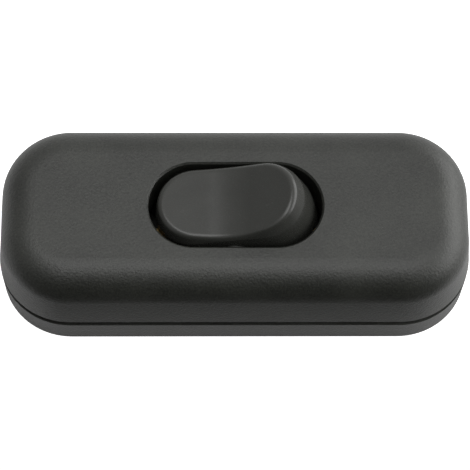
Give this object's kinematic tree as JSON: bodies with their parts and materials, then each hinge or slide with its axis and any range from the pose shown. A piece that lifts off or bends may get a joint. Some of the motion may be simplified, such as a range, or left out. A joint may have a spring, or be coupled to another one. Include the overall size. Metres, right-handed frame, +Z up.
{
  "type": "inline cord switch",
  "caption": "Two-part moulded inline lamp-cord switch with a glossy see-saw rocker, a sprung plunger, a knife-edge contact lever, screw terminals and cord clamps.",
  "frame": {"origin": "middle of the underside of the base", "axes": "+X along the cord towards the raised end of the rocker, +Y across the switch, +Z up"},
  "size_m": [0.066, 0.0268, 0.021],
  "materials": {
    "housing": "fine spark texture, matt black",
    "rocker": "smooth glossy black",
    "nylon": "natural nylon",
    "clamp_plastic": "satin moulded, dark grey",
    "brass": "rolled strip, stamped",
    "brass_block": "drawn bar, milled",
    "silver": "silver alloy contact",
    "spring_steel": "drawn wire",
    "plated_steel": "zinc plated"
  },
  "bodies": {
    "housing": {"top_cover": "housing", "base_shell": "housing", "fulcrum_strip": "brass", "fixed_contact_strip": "brass", "fixed_contact": "silver", "line_in_terminal": "brass_block", "line_out_terminal": "brass_block", "neutral_link": "brass_block", "line_in_screw": "plated_steel", "line_out_screw": "plated_steel", "neutral_in_screw": "plated_steel", "neutral_out_screw": "plated_steel", "cord_clamp_left": "clamp_plastic", "cord_clamp_right": "clamp_plastic", "clamp_screws_left": "plated_steel", "clamp_screws_right": "plated_steel", "cover_screw_left": "plated_steel", "cover_screw_right": "plated_steel"},
    "rocker": {"rocker": "rocker", "plunger_spring": "spring_steel"},
    "plunger": {"plunger": "nylon"},
    "contact_lever": {"contact_lever": "brass", "moving_contact": "silver"}
  },
  "joints": [
    {"name": "rocker_pivot", "type": "hinge", "parent": "housing", "child": "rocker", "pos_m": [0, 0, 0.01309], "axis": [0, 1, 0], "range_deg": [0, 26]},
    {"name": "plunger_slide", "type": "slide", "parent": "rocker", "child": "plunger", "axis": [-0.225, 0, 0.9744], "range_m": [0, 0.0005], "stiffness_N_per_m": 200, "deforming": ["plunger_spring"]},
    {"name": "contact_rocking", "type": "hinge", "parent": "housing", "child": "contact_lever", "pos_m": [0, 0, 0.00545], "axis": [0, 1, 0], "range_deg": [-12.01, 0]}
  ],
  "couplings": [
    {"joint": "contact_rocking", "follows": "rocker_pivot", "ratio": -0.46154}
  ]
}
